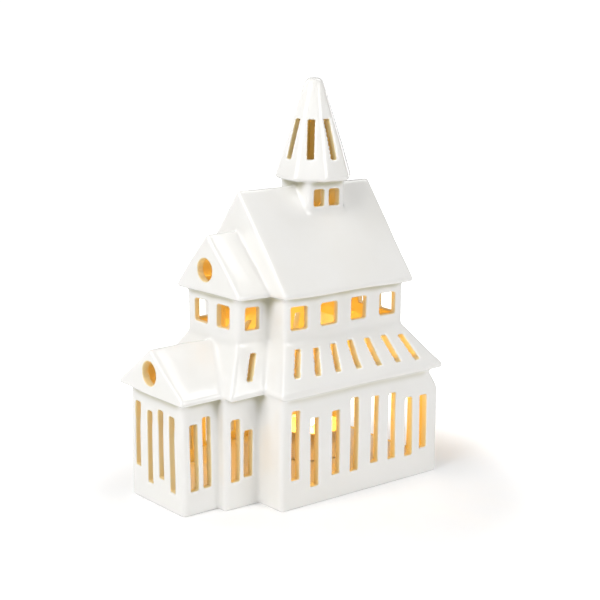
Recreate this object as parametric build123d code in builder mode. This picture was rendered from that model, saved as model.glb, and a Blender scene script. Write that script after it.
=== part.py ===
from build123d import *
import math
import os

os.makedirs("parts", exist_ok=True)

# A glazed ceramic tealight house in the form of a stepped church, standing on a table.
# Sizes in millimetres. +Z is up, the ridges run along Y and the porch faces -Y.
# The origin is on the table, under the middle of the house.

# Lower storey: porch, narthex and nave step out one behind the other
nave_width = 95.0
nave_length = 108.0
narthex_width = 58.0
narthex_length = 21.3
porch_width = 46.4
porch_length = 21.0
wall_height = 58.5
wall = 3.8
corner_round = 1.5
back_lean = 7.0
back_lean_height = 11.5
floor_top = 8.4
floor_thickness = 4.0
doorway_width = 54.0
doorway_height = 34.0
doorway_round = 6.0

# Lower roofs: a gable over the porch and sloping aisle roofs round narthex and nave
eave_depth = 2.2
nave_eave_side = 2.2
nave_eave_front = 1.0
nave_eave_back = 1.5
narthex_eave_side = 6.4
narthex_eave_front = 0.4
porch_eave_side = 5.3
porch_eave_front = 4.0
porch_roof_rise = 21.3
aisle_rise = 21.6
eave_chamfer = 0.8
eave_round = 0.8

# Upper storey: the clerestory walls stand on the aisle roofs
clerestory_height = 23.3
nave_clerestory_width = 69.6
nave_clerestory_front_setback = 11.8
nave_clerestory_back_setback = 15.8
narthex_clerestory_width = 43.0
narthex_clerestory_front_setback = 13.4
clerestory_wall = 3.2

# Upper roofs
upper_eave_depth = 1.8
nave_roof_side = 3.8
nave_roof_front = 3.0
nave_roof_back = 4.5
nave_roof_rise = 49.7
narthex_roof_side = 5.3
narthex_roof_front = 3.2
narthex_roof_rise = 28.9
roof_thickness = 4.2
ridge_round = 1.0
verge_round = 0.7

# Turret astride the nave ridge, and its eight-sided spire
turret_width = 23.6
turret_length = 25.0
turret_wall = 3.4
turret_round = 1.4
turret_rise = 2.3
turret_place = 57.6
spire_eave_rise = 1.2
spire_foot_across = 32.2
spire_eave_across = 38.4
spire_tip_across = 8.2
spire_rise = 51.4
spire_wall = 3.2
spire_foot_thickness = 3.0
spire_tip_round = 2.2
spire_sides = 8
spire_slotted_sides = (-2, -1, 0, 1, 2)

# Hand-cut slots and windows
slot_width = 5.2
narrow_slot_width = 4.5
slot_round = 0.9
window_round = 1.2
aisle_slot_width = 3.8
round_window_diameter = 12.2
narthex_round_window_rise = 10.2
narthex_round_window_shift = -1.6
porch_round_window_rise = 9.1
clerestory_window_width = 10.9
clerestory_window_height = 11.9
clerestory_window_sill = 6.5
narthex_side_window_width = 9.4
narthex_side_window_jamb = 1.15
turret_window_height = 9.1
turret_window_drop = 4.5
turret_window_jamb = 0.2
turret_mullion = 2.8
spire_slot_width = 3.7
spire_slot_height = 20.8
spire_slot_rise = 9.8

# Tealight: a wax candle in a thin metal cup, standing on the floor under the turret
cup_diameter = 38.0
cup_height = 16.0
cup_wall = 0.5
cup_base_bevel = 1.5
cup_clearance = 0.2
wax_clearance = 0.1
wax_height = 14.0
wax_dish_depth = 1.2
wax_dish_share = 0.6
sustainer_diameter = 12.0
sustainer_thickness = 0.5
sustainer_collar_diameter = 3.6
sustainer_collar_height = 3.0
wick_diameter = 1.6
wick_rise = 7.0

# Cuts run past the faces they open by this much
overrun = 3.0

# Where the slots stand along each wall, and their feet and heads up it, as shares of its length and height
nave_slot_place_shares = (0.084, 0.199, 0.329, 0.445, 0.575, 0.690, 0.804, 0.902)
nave_slot_foot_shares = (0.265, 0.166, 0.223, 0.205, 0.232, 0.227, 0.214, 0.252)
nave_slot_head_shares = (0.882, 0.789, 0.809, 0.880, 0.854, 0.847, 0.771, 0.760)
narthex_slot_place_shares = (0.315, 0.690)
narthex_slot_foot_shares = (0.245, 0.268)
narthex_slot_head_shares = (0.802, 0.687)
porch_side_slot_place_shares = (0.319, 0.686)
porch_side_slot_foot_shares = (0.212, 0.219)
porch_side_slot_head_shares = (0.807, 0.848)
porch_front_slot_place_shares = (-0.362, -0.128, 0.087, 0.300)
porch_front_slot_foot_shares = (0.287, 0.181, 0.256, 0.176)
porch_front_slot_head_shares = (0.872, 0.829, 0.869, 0.854)

# The aisle slots fan out: even steps along the clerestory at their heads, along the nave at their feet
first_head_share = 0.084
last_head_share = 0.946
first_foot_share = 0.102
last_foot_share = 0.863
aisle_slot_foot_rise_shares = (0.290, 0.266, 0.265, 0.245, 0.212, 0.215, 0.190)
aisle_slot_head_rise_shares = (0.863, 0.835, 0.840, 0.840, 0.815, 0.810, 0.770)
aisle_slot_count = len(aisle_slot_foot_rise_shares)
narthex_aisle_slot_head_share = 0.40
narthex_aisle_slot_foot_share = 0.61
narthex_aisle_slot_foot_rise_share = 0.24
narthex_aisle_slot_head_rise_share = 0.79

# Clerestory windows along the nave, and across the front and the back
nave_window_place_shares = (0.115, 0.359, 0.613, 0.867)
front_window_place_shares = (-0.217, 0.217)
back_window_place_shares = (-0.350, -0.117, 0.117, 0.350)

# Heights, each storey standing on the one below
floor_bottom = floor_top - floor_thickness
eave_height = wall_height + eave_depth
porch_ridge_height = eave_height + porch_roof_rise
clerestory_foot = eave_height + aisle_rise
clerestory_top = clerestory_foot + clerestory_height
clerestory_window_foot = clerestory_foot + clerestory_window_sill
clerestory_window_top = clerestory_window_foot + clerestory_window_height
upper_eave_height = clerestory_top + upper_eave_depth
nave_ridge_height = upper_eave_height + nave_roof_rise
narthex_ridge_height = upper_eave_height + narthex_roof_rise
turret_top = nave_ridge_height + turret_rise
turret_window_top = turret_top - turret_window_drop
turret_window_foot = turret_window_top - turret_window_height
spire_eave_height = turret_top + spire_eave_rise
spire_top = spire_eave_height + spire_rise
spire_slot_foot = spire_eave_height + spire_slot_rise
spire_slot_top = spire_slot_foot + spire_slot_height

# Places along the house, worked out from its front and back reach
front_reach = porch_length + narthex_length + porch_eave_front
back_reach = nave_length + nave_eave_back
nave_front = (front_reach - back_reach) / 2
nave_back = nave_front + nave_length
narthex_front = nave_front - narthex_length
porch_front = narthex_front - porch_length
porch_gable = porch_front - porch_eave_front
clerestory_front = nave_front + nave_clerestory_front_setback
clerestory_back = nave_back - nave_clerestory_back_setback
clerestory_length = clerestory_back - clerestory_front
narthex_clerestory_front = narthex_front + narthex_clerestory_front_setback
narthex_clerestory_length = clerestory_front - narthex_clerestory_front
nave_gable = clerestory_front - nave_roof_front
nave_roof_end = clerestory_back + nave_roof_back
narthex_gable = narthex_clerestory_front - narthex_roof_front
turret_y = nave_front + turret_place


def xz_plane(y):
    """A drawing plane across the house at y, seen from the front: X to the right, Z up."""
    return Plane((0, y, 0), x_dir=(1, 0, 0), z_dir=(0, -1, 0))


def yz_plane(x):
    """A drawing plane along the house at x, seen from the right: Y to the right, Z up."""
    return Plane((x, 0, 0), x_dir=(0, 1, 0), z_dir=(1, 0, 0))


def rectangle_between(x_half, y_start, y_end):
    """A rectangle centred on the ridge line, from y_start to y_end."""
    with Locations((0, (y_start + y_end) / 2)):
        Rectangle(2 * x_half, y_end - y_start)


def upright_slots(places, feet, heads, width):
    """Upright slots at places along a wall, each with its own foot and head."""
    for place, foot, head in zip(places, feet, heads):
        with Locations((place, (foot + head) / 2)):
            Rectangle(width, head - foot)


def square_windows(places, foot, head, width):
    """Windows with rounded corners at places along a wall, all at one height."""
    for place in places:
        with Locations((place, (foot + head) / 2)):
            RectangleRounded(width, head - foot, window_round)


def leaning_slot(foot_y, foot_z, head_y, head_z, width):
    """A slot that leans along the roof slope, drawn on a plane along the house."""
    Polygon(
        (foot_y - width / 2, foot_z),
        (foot_y + width / 2, foot_z),
        (head_y + width / 2, head_z),
        (head_y - width / 2, head_z),
        align=None,
    )


def gable_outline(half_width, foot, eave, ridge):
    """The corner points of a gable: upright fascias between foot and eave, then slopes to the ridge."""
    return [
        (-half_width, foot),
        (half_width, foot),
        (half_width, eave),
        (0, ridge),
        (-half_width, eave),
    ]


def attic_outline(half_width, foot, roof_half_width, eave, ridge):
    """The corner points of the hollow under a gable roof of even thickness."""
    fall = (ridge - eave) / roof_half_width
    drop = roof_thickness * math.hypot(1, fall)
    return gable_outline(half_width, foot, ridge - drop - fall * half_width, ridge - drop)


def soften_gable(roof, eave):
    """Bevel the soffit edges of a gabled block, and round its eaves, verges and ridge."""
    chamfer(roof.faces().sort_by(Axis.Z)[0].edges(), eave_chamfer)
    ridge = roof.edges().filter_by(Axis.Y).sort_by(Axis.Z)[-1]
    fillet(ridge, ridge_round)
    fillet(roof.edges().filter_by(Axis.Y).filter_by_position(Axis.Z, eave, eave), eave_round)
    for gable in (roof.faces().sort_by(Axis.Y)[0], roof.faces().sort_by(Axis.Y)[-1]):
        fillet(gable.edges().filter_by_position(Axis.Z, eave, ridge.center().Z), verge_round)


# Hollows and outer forms that neighbouring castings share

nave_aisle_half = nave_width / 2 + nave_eave_side
narthex_aisle_half = narthex_width / 2 + narthex_eave_side
nave_clerestory_half = nave_clerestory_width / 2
narthex_clerestory_half = narthex_clerestory_width / 2
porch_roof_half = porch_width / 2 + porch_eave_side
nave_roof_half = nave_clerestory_half + nave_roof_side
narthex_roof_half = narthex_clerestory_half + narthex_roof_side

with BuildPart() as nave_aisle_form:
    with BuildSketch(Plane.XY.offset(eave_height)):
        rectangle_between(nave_aisle_half, nave_front - nave_eave_front, nave_back + nave_eave_back)
    with BuildSketch(Plane.XY.offset(clerestory_foot)):
        rectangle_between(nave_clerestory_half, clerestory_front, clerestory_back)
    loft()
    with BuildSketch(Plane.XY.offset(wall_height)):
        rectangle_between(nave_aisle_half, nave_front - nave_eave_front, nave_back + nave_eave_back)
    extrude(amount=eave_height - wall_height)
    chamfer(nave_aisle_form.faces().sort_by(Axis.Z)[0].edges(), eave_chamfer)

with BuildPart() as narthex_aisle_form:
    with BuildSketch(Plane.XY.offset(eave_height)):
        rectangle_between(narthex_aisle_half, narthex_front - narthex_eave_front, clerestory_front)
    with BuildSketch(Plane.XY.offset(clerestory_foot)):
        rectangle_between(narthex_clerestory_half, narthex_clerestory_front, clerestory_front)
    loft()
    with BuildSketch(Plane.XY.offset(wall_height)):
        rectangle_between(narthex_aisle_half, narthex_front - narthex_eave_front, clerestory_front)
    extrude(amount=eave_height - wall_height)
    chamfer(narthex_aisle_form.faces().sort_by(Axis.Z)[0].edges(), eave_chamfer)

with BuildPart() as narthex_aisle_hollow:
    with BuildSketch(Plane.XY.offset(wall_height)):
        rectangle_between(narthex_width / 2 - wall, narthex_front + wall, clerestory_front + wall)
    with BuildSketch(Plane.XY.offset(clerestory_foot)):
        rectangle_between(
            narthex_clerestory_half - clerestory_wall,
            narthex_clerestory_front + clerestory_wall,
            clerestory_front + wall,
        )
    loft()

with BuildPart() as porch_roof_hollow:
    with BuildSketch(xz_plane(porch_gable + wall)):
        with BuildLine():
            Polyline(
                attic_outline(
                    porch_width / 2 - wall,
                    wall_height,
                    porch_roof_half,
                    eave_height,
                    porch_ridge_height,
                ),
                close=True,
            )
        make_face()
    extrude(amount=porch_gable + wall - (narthex_clerestory_front + wall))

with BuildPart() as nave_roof_form:
    with BuildSketch(xz_plane(nave_gable)):
        with BuildLine():
            Polyline(
                gable_outline(nave_roof_half, clerestory_top, upper_eave_height, nave_ridge_height),
                close=True,
            )
        make_face()
    extrude(amount=nave_gable - nave_roof_end)
    soften_gable(nave_roof_form, upper_eave_height)

with BuildPart() as narthex_roof_hollow:
    with BuildSketch(xz_plane(narthex_gable + wall)):
        with BuildLine():
            Polyline(
                attic_outline(
                    narthex_clerestory_half - clerestory_wall,
                    clerestory_top,
                    narthex_roof_half,
                    upper_eave_height,
                    narthex_ridge_height,
                ),
                close=True,
            )
        make_face()
    extrude(amount=narthex_gable + wall - (clerestory_front + wall))

# Base floor: one slab inside all three sets of walls, raised off the table

with BuildPart() as base_floor:
    with BuildSketch(Plane.XY.offset(floor_bottom)):
        rectangle_between(nave_width / 2 - wall, nave_front + wall, nave_back - wall)
        rectangle_between(narthex_width / 2 - wall, narthex_front + wall, nave_front + wall)
        rectangle_between(porch_width / 2 - wall, porch_front + wall, narthex_front + wall)
    extrude(amount=floor_thickness)

# Nave walls: eight slots a side, a wide opening to the narthex and the candle doorway at the back

with BuildPart() as nave_walls:
    with BuildSketch():
        rectangle_between(nave_width / 2, nave_front, nave_back)
    extrude(amount=wall_height)
    fillet(nave_walls.edges().filter_by(Axis.Z), corner_round)
    with BuildSketch(yz_plane(nave_width / 2 - wall)):
        with BuildLine():
            Polyline(
                (nave_front + wall, -overrun),
                (nave_back - wall, -overrun),
                (nave_back - wall, wall_height - back_lean_height),
                (nave_back - wall - back_lean, wall_height),
                (nave_back - wall - back_lean, wall_height + overrun),
                (nave_front + wall, wall_height + overrun),
                close=True,
            )
        make_face()
    extrude(amount=-(nave_width - 2 * wall), mode=Mode.SUBTRACT)
    with BuildSketch(yz_plane(nave_width / 2 + overrun)):
        with BuildLine():
            Polyline(
                (nave_back, wall_height - back_lean_height),
                (nave_back - back_lean, wall_height),
                (nave_back, wall_height),
                close=True,
            )
        make_face()
    extrude(amount=-(nave_width + 2 * overrun), mode=Mode.SUBTRACT)
    for side in (-1, 1):
        with BuildSketch(yz_plane(side * (nave_width / 2 + overrun))) as slots:
            upright_slots(
                [nave_front + share * nave_length for share in nave_slot_place_shares],
                [share * wall_height for share in nave_slot_foot_shares],
                [share * wall_height for share in nave_slot_head_shares],
                slot_width,
            )
            fillet(slots.vertices().filter_by_position(Axis.Y, wall_height / 2, wall_height), slot_round)
        extrude(amount=-side * (wall + 2 * overrun), mode=Mode.SUBTRACT)
    with BuildSketch(xz_plane(nave_front - overrun)):
        with Locations((0, (floor_bottom + wall_height + overrun) / 2)):
            Rectangle(narthex_width - 2 * wall, wall_height + overrun - floor_bottom)
    extrude(amount=-(wall + 2 * overrun), mode=Mode.SUBTRACT)
    with BuildSketch(xz_plane(nave_back + overrun)) as doorway:
        with Locations((0, floor_top + doorway_height / 2)):
            Rectangle(doorway_width, doorway_height)
        fillet(doorway.vertices().group_by(Axis.Y)[-1], doorway_round)
    extrude(amount=wall + 2 * overrun, mode=Mode.SUBTRACT)

# Narthex walls: two slots a side, open to the porch and to the nave

with BuildPart() as narthex_walls:
    with BuildSketch():
        rectangle_between(narthex_width / 2, narthex_front, nave_front)
        with Locations((0, (narthex_front + wall + nave_front + overrun) / 2)):
            Rectangle(narthex_width - 2 * wall, narthex_length + overrun - wall, mode=Mode.SUBTRACT)
    extrude(amount=wall_height)
    fillet(narthex_walls.edges().filter_by(Axis.Z).group_by(Axis.Y)[0], corner_round)
    for side in (-1, 1):
        with BuildSketch(yz_plane(side * (narthex_width / 2 + overrun))) as slots:
            upright_slots(
                [narthex_front + share * narthex_length for share in narthex_slot_place_shares],
                [share * wall_height for share in narthex_slot_foot_shares],
                [share * wall_height for share in narthex_slot_head_shares],
                slot_width,
            )
            fillet(slots.vertices().filter_by_position(Axis.Y, wall_height / 2, wall_height), slot_round)
        extrude(amount=-side * (wall + 2 * overrun), mode=Mode.SUBTRACT)
    with BuildSketch(xz_plane(narthex_front - overrun)):
        with Locations((0, (floor_bottom + wall_height + overrun) / 2)):
            Rectangle(porch_width - 2 * wall, wall_height + overrun - floor_bottom)
    extrude(amount=-(wall + 2 * overrun), mode=Mode.SUBTRACT)

# Porch walls: four slots in front and two a side, open to the narthex

with BuildPart() as porch_walls:
    with BuildSketch():
        rectangle_between(porch_width / 2, porch_front, narthex_front)
        with Locations((0, (porch_front + wall + narthex_front + overrun) / 2)):
            Rectangle(porch_width - 2 * wall, porch_length + overrun - wall, mode=Mode.SUBTRACT)
    extrude(amount=wall_height)
    fillet(porch_walls.edges().filter_by(Axis.Z).group_by(Axis.Y)[0], corner_round)
    for side in (-1, 1):
        with BuildSketch(yz_plane(side * (porch_width / 2 + overrun))) as slots:
            upright_slots(
                [porch_front + share * porch_length for share in porch_side_slot_place_shares],
                [share * wall_height for share in porch_side_slot_foot_shares],
                [share * wall_height for share in porch_side_slot_head_shares],
                narrow_slot_width,
            )
            fillet(slots.vertices().filter_by_position(Axis.Y, wall_height / 2, wall_height), slot_round)
        extrude(amount=-side * (wall + 2 * overrun), mode=Mode.SUBTRACT)
    with BuildSketch(xz_plane(porch_front - overrun)) as slots:
        upright_slots(
            [share * porch_width for share in porch_front_slot_place_shares],
            [share * wall_height for share in porch_front_slot_foot_shares],
            [share * wall_height for share in porch_front_slot_head_shares],
            narrow_slot_width,
        )
        fillet(slots.vertices().filter_by_position(Axis.Y, wall_height / 2, wall_height), slot_round)
    extrude(amount=-(wall + 2 * overrun), mode=Mode.SUBTRACT)

# Nave aisle roof: a hipped skirt from the eave up to the clerestory, with slots that fan out

with BuildPart() as nave_aisle_roof:
    add(nave_aisle_form.part)
    with BuildSketch(Plane.XY.offset(wall_height)):
        rectangle_between(nave_width / 2 - wall, nave_front + wall, nave_back - wall - back_lean)
    with BuildSketch(Plane.XY.offset(clerestory_foot)):
        rectangle_between(
            nave_clerestory_half - clerestory_wall,
            clerestory_front + clerestory_wall,
            clerestory_back - clerestory_wall,
        )
    loft(mode=Mode.SUBTRACT)
    add(narthex_aisle_hollow.part, mode=Mode.SUBTRACT)
    with BuildSketch(yz_plane(nave_aisle_half + overrun)):
        for index in range(aisle_slot_count):
            way_share = index / (aisle_slot_count - 1)
            foot_share = first_foot_share + way_share * (last_foot_share - first_foot_share)
            head_share = first_head_share + way_share * (last_head_share - first_head_share)
            leaning_slot(
                nave_front + foot_share * nave_length,
                eave_height + aisle_slot_foot_rise_shares[index] * aisle_rise,
                clerestory_front + head_share * clerestory_length,
                eave_height + aisle_slot_head_rise_shares[index] * aisle_rise,
                aisle_slot_width,
            )
    extrude(amount=-2 * (nave_aisle_half + overrun), mode=Mode.SUBTRACT)

# Narthex aisle roof: a lower skirt that runs back into the nave's, with one slot a side

with BuildPart() as narthex_aisle_roof:
    add(narthex_aisle_form.part)
    add(nave_aisle_form.part, mode=Mode.SUBTRACT)
    add(narthex_aisle_hollow.part, mode=Mode.SUBTRACT)
    add(porch_roof_hollow.part, mode=Mode.SUBTRACT)
    with BuildSketch(yz_plane(narthex_aisle_half + overrun)):
        leaning_slot(
            narthex_front + narthex_aisle_slot_foot_share * narthex_length,
            eave_height + narthex_aisle_slot_foot_rise_share * aisle_rise,
            narthex_clerestory_front + narthex_aisle_slot_head_share * narthex_clerestory_length,
            eave_height + narthex_aisle_slot_head_rise_share * aisle_rise,
            aisle_slot_width,
        )
    extrude(amount=-2 * (narthex_aisle_half + overrun), mode=Mode.SUBTRACT)

# Porch roof: a low gable with a round window, run back into the narthex skirt

with BuildPart() as porch_roof:
    with BuildSketch(xz_plane(porch_gable)):
        with BuildLine():
            Polyline(
                gable_outline(porch_roof_half, wall_height, eave_height, porch_ridge_height),
                close=True,
            )
        make_face()
    extrude(amount=porch_gable - narthex_clerestory_front)
    soften_gable(porch_roof, eave_height)
    add(narthex_aisle_form.part, mode=Mode.SUBTRACT)
    add(porch_roof_hollow.part, mode=Mode.SUBTRACT)
    with BuildSketch(xz_plane(porch_gable - overrun)):
        with Locations((0, eave_height + porch_round_window_rise)):
            Circle(round_window_diameter / 2)
    extrude(amount=-(wall + 2 * overrun), mode=Mode.SUBTRACT)

# Nave clerestory: four square windows a side and four at the back, open to the narthex part

with BuildPart() as nave_clerestory:
    with BuildSketch(Plane.XY.offset(clerestory_foot)):
        rectangle_between(nave_clerestory_half, clerestory_front, clerestory_back)
    extrude(amount=clerestory_height)
    fillet(nave_clerestory.edges().filter_by(Axis.Z), corner_round)
    with BuildSketch(Plane.XY.offset(clerestory_foot - overrun)):
        rectangle_between(
            nave_clerestory_half - clerestory_wall,
            clerestory_front + clerestory_wall,
            clerestory_back - clerestory_wall,
        )
    extrude(amount=clerestory_height + 2 * overrun, mode=Mode.SUBTRACT)
    for side in (-1, 1):
        with BuildSketch(yz_plane(side * (nave_clerestory_half + overrun))):
            square_windows(
                [clerestory_front + share * clerestory_length for share in nave_window_place_shares],
                clerestory_window_foot,
                clerestory_window_top,
                clerestory_window_width,
            )
        extrude(amount=-side * (clerestory_wall + 2 * overrun), mode=Mode.SUBTRACT)
    with BuildSketch(xz_plane(clerestory_back + overrun)):
        square_windows(
            [share * nave_clerestory_width for share in back_window_place_shares],
            clerestory_window_foot,
            clerestory_window_top,
            clerestory_window_width,
        )
    extrude(amount=clerestory_wall + 2 * overrun, mode=Mode.SUBTRACT)
    with BuildSketch(xz_plane(clerestory_front - overrun)):
        with Locations((0, (clerestory_foot + clerestory_top) / 2)):
            Rectangle(narthex_clerestory_width - 2 * clerestory_wall, clerestory_height + 2 * overrun)
    extrude(amount=-(clerestory_wall + 2 * overrun), mode=Mode.SUBTRACT)

# Narthex clerestory: one window a side and two in front, open to the nave part

with BuildPart() as narthex_clerestory:
    with BuildSketch(Plane.XY.offset(clerestory_foot)):
        rectangle_between(narthex_clerestory_half, narthex_clerestory_front, clerestory_front)
    extrude(amount=clerestory_height)
    fillet(narthex_clerestory.edges().filter_by(Axis.Z).group_by(Axis.Y)[0], corner_round)
    with BuildSketch(Plane.XY.offset(clerestory_foot - overrun)):
        rectangle_between(
            narthex_clerestory_half - clerestory_wall,
            narthex_clerestory_front + clerestory_wall,
            clerestory_front + overrun,
        )
    extrude(amount=clerestory_height + 2 * overrun, mode=Mode.SUBTRACT)
    jamb_y = narthex_clerestory_front + clerestory_wall + narthex_side_window_jamb
    for side in (-1, 1):
        with BuildSketch(yz_plane(side * (narthex_clerestory_half + overrun))):
            square_windows(
                [jamb_y + narthex_side_window_width / 2],
                clerestory_window_foot,
                clerestory_window_top,
                narthex_side_window_width,
            )
        extrude(amount=-side * (clerestory_wall + 2 * overrun), mode=Mode.SUBTRACT)
    with BuildSketch(xz_plane(narthex_clerestory_front - overrun)):
        square_windows(
            [share * narthex_clerestory_width for share in front_window_place_shares],
            clerestory_window_foot,
            clerestory_window_top,
            clerestory_window_width,
        )
    extrude(amount=-(clerestory_wall + 2 * overrun), mode=Mode.SUBTRACT)

# Narthex roof: a gable with a round window, run back to the nave gable

with BuildPart() as narthex_roof:
    with BuildSketch(xz_plane(narthex_gable)):
        with BuildLine():
            Polyline(
                gable_outline(narthex_roof_half, clerestory_top, upper_eave_height, narthex_ridge_height),
                close=True,
            )
        make_face()
    extrude(amount=narthex_gable - nave_gable)
    soften_gable(narthex_roof, upper_eave_height)
    add(narthex_roof_hollow.part, mode=Mode.SUBTRACT)
    with BuildSketch(xz_plane(narthex_gable - overrun)):
        with Locations((narthex_round_window_shift, upper_eave_height + narthex_round_window_rise)):
            Circle(round_window_diameter / 2)
    extrude(amount=-(wall + 2 * overrun), mode=Mode.SUBTRACT)

# Nave roof: the tall main gable, hollow, open under the turret and to the narthex roof

with BuildPart() as nave_roof:
    add(nave_roof_form.part)
    with BuildSketch(xz_plane(clerestory_front + clerestory_wall)):
        with BuildLine():
            Polyline(
                attic_outline(
                    nave_clerestory_half - clerestory_wall,
                    clerestory_top,
                    nave_roof_half,
                    upper_eave_height,
                    nave_ridge_height,
                ),
                close=True,
            )
        make_face()
    extrude(amount=-(clerestory_length - 2 * clerestory_wall), mode=Mode.SUBTRACT)
    add(narthex_roof_hollow.part, mode=Mode.SUBTRACT)
    with BuildSketch(Plane.XY.offset(nave_ridge_height + overrun)):
        with Locations((0, turret_y)):
            Rectangle(turret_width - 2 * turret_wall, turret_length - 2 * turret_wall)
    extrude(amount=-(nave_ridge_height + overrun - upper_eave_height), mode=Mode.SUBTRACT)

# Turret: a square tube saddled over the ridge, two windows a side

with BuildPart() as turret:
    with BuildSketch(Plane.XY.offset(upper_eave_height)):
        with Locations((0, turret_y)):
            Rectangle(turret_width, turret_length)
    extrude(amount=turret_top - upper_eave_height)
    fillet(turret.edges().filter_by(Axis.Z), turret_round)
    with BuildSketch(Plane.XY.offset(upper_eave_height - overrun)):
        with Locations((0, turret_y)):
            Rectangle(turret_width - 2 * turret_wall, turret_length - 2 * turret_wall)
    extrude(amount=turret_top - upper_eave_height + 2 * overrun, mode=Mode.SUBTRACT)
    add(nave_roof_form.part, mode=Mode.SUBTRACT)
    window_width = turret_length / 2 - turret_wall - turret_window_jamb - turret_mullion / 2
    window_shift = (window_width + turret_mullion) / 2
    for side in (-1, 1):
        with BuildSketch(yz_plane(side * (turret_width / 2 + overrun))):
            square_windows(
                [turret_y - window_shift, turret_y + window_shift],
                turret_window_foot,
                turret_window_top,
                window_width,
            )
        extrude(amount=-side * (turret_wall + 2 * overrun), mode=Mode.SUBTRACT)

# Spire: an eight-sided hollow cone with a blunt rounded tip, one slot in each face but the three at the back

spire_turn = 180 / spire_sides
spire_fall = (spire_eave_across - spire_tip_across) / 2 / (spire_top - spire_eave_height)
spire_slope_wall = spire_wall * math.hypot(1, spire_fall)


def octagon(across):
    """A regular eight-sided outline with the given size across its flats."""
    with Locations((0, turret_y)):
        RegularPolygon(across / 2, spire_sides, major_radius=False, rotation=spire_turn)


def spire_hollow_across(height):
    """The size across the flats of the hollow inside the spire at a height."""
    return spire_eave_across - 2 * (spire_slope_wall + spire_fall * (height - spire_eave_height))


with BuildPart() as spire:
    with BuildSketch(Plane.XY.offset(spire_eave_height)):
        octagon(spire_eave_across)
    with BuildSketch(Plane.XY.offset(spire_top)):
        octagon(spire_tip_across)
    loft()
    fillet(spire.faces().sort_by(Axis.Z)[-1].edges(), spire_tip_round)
    with BuildSketch(Plane.XY.offset(turret_top)):
        octagon(spire_foot_across)
    with BuildSketch(Plane.XY.offset(spire_eave_height)):
        octagon(spire_eave_across)
    loft()
    for height in (turret_top + spire_foot_thickness, spire_top - 2 * spire_wall):
        with BuildSketch(Plane.XY.offset(height)):
            octagon(spire_hollow_across(height))
    loft(mode=Mode.SUBTRACT)
    with BuildSketch(Plane.XY.offset(turret_top - overrun)):
        with Locations((0, turret_y)):
            Rectangle(turret_width - 2 * turret_wall, turret_length - 2 * turret_wall)
    extrude(amount=spire_foot_thickness + 2 * overrun, mode=Mode.SUBTRACT)
    for side in spire_slotted_sides:
        facing = Plane((0, turret_y, 0)).rotated((0, 0, side * 2 * spire_turn))
        cut = Plane(facing.origin, x_dir=facing.x_dir, z_dir=-facing.y_dir).offset(spire_eave_across)
        with BuildSketch(cut) as slot:
            with Locations((0, (spire_slot_foot + spire_slot_top) / 2)):
                Rectangle(spire_slot_width, spire_slot_height)
            fillet(slot.vertices().group_by(Axis.Y)[0], slot_round)
        extrude(amount=-spire_eave_across, mode=Mode.SUBTRACT)

# Tealight cup: a drawn metal cup with a rounded foot

cup_base = floor_top + cup_clearance
wax_radius = cup_diameter / 2 - cup_wall - wax_clearance

with BuildPart() as tealight_cup:
    with BuildSketch(Plane.XY.offset(cup_base)):
        with Locations((0, turret_y)):
            Circle(cup_diameter / 2)
    extrude(amount=cup_height)
    chamfer(tealight_cup.faces().sort_by(Axis.Z)[0].edges(), cup_base_bevel)
    offset(amount=-cup_wall, openings=tealight_cup.faces().sort_by(Axis.Z)[-1])

# Wick sustainer: a pressed metal disc with a collar, on the floor of the cup

sustainer_base = cup_base + cup_wall

with BuildPart() as tealight_sustainer:
    with BuildSketch(Plane.XY.offset(sustainer_base)):
        with Locations((0, turret_y)):
            Circle(sustainer_diameter / 2)
    extrude(amount=sustainer_thickness)
    with BuildSketch(Plane.XY.offset(sustainer_base)):
        with Locations((0, turret_y)):
            Circle(sustainer_collar_diameter / 2)
    extrude(amount=sustainer_collar_height)
    with BuildSketch(Plane.XY.offset(sustainer_base + sustainer_thickness)):
        with Locations((0, turret_y)):
            Circle(wick_diameter / 2)
    extrude(amount=sustainer_collar_height, mode=Mode.SUBTRACT)

# Wick: a stiff cotton cord that stands in the collar and rises out of the wax

with BuildPart() as tealight_wick:
    with BuildSketch(Plane.XY.offset(sustainer_base + sustainer_thickness)):
        with Locations((0, turret_y)):
            Circle(wick_diameter / 2)
    extrude(amount=wax_height + wick_rise - sustainer_thickness)

# Wax: the cast candle, dished round the wick, over the sustainer

with BuildPart() as tealight_wax:
    with BuildSketch(yz_plane(0)):
        with BuildLine():
            Polyline(
                (turret_y, sustainer_base),
                (turret_y + wax_radius - cup_base_bevel, sustainer_base),
                (turret_y + wax_radius, sustainer_base + cup_base_bevel),
                (turret_y + wax_radius, sustainer_base + wax_height),
                (turret_y + wax_radius * wax_dish_share, sustainer_base + wax_height - wax_dish_depth),
                (turret_y, sustainer_base + wax_height - wax_dish_depth),
                close=True,
            )
        make_face()
    revolve(axis=Axis((0, turret_y, 0), (0, 0, 1)))
    add(tealight_sustainer.part, mode=Mode.SUBTRACT)
    add(tealight_wick.part, mode=Mode.SUBTRACT)

pieces = {
    "base_floor": base_floor,
    "nave_walls": nave_walls,
    "narthex_walls": narthex_walls,
    "porch_walls": porch_walls,
    "nave_aisle_roof": nave_aisle_roof,
    "narthex_aisle_roof": narthex_aisle_roof,
    "porch_roof": porch_roof,
    "nave_clerestory": nave_clerestory,
    "narthex_clerestory": narthex_clerestory,
    "narthex_roof": narthex_roof,
    "nave_roof": nave_roof,
    "turret": turret,
    "spire": spire,
    "tealight_cup": tealight_cup,
    "tealight_sustainer": tealight_sustainer,
    "tealight_wick": tealight_wick,
    "tealight_wax": tealight_wax,
}

for name, piece in pieces.items():
    piece.part.label = name
    export_step(piece.part, f"parts/{name}.step")
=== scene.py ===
import math

import bmesh
import bpy
import numpy as np
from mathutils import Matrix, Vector
from mathutils.bvhtree import BVHTree


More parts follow.
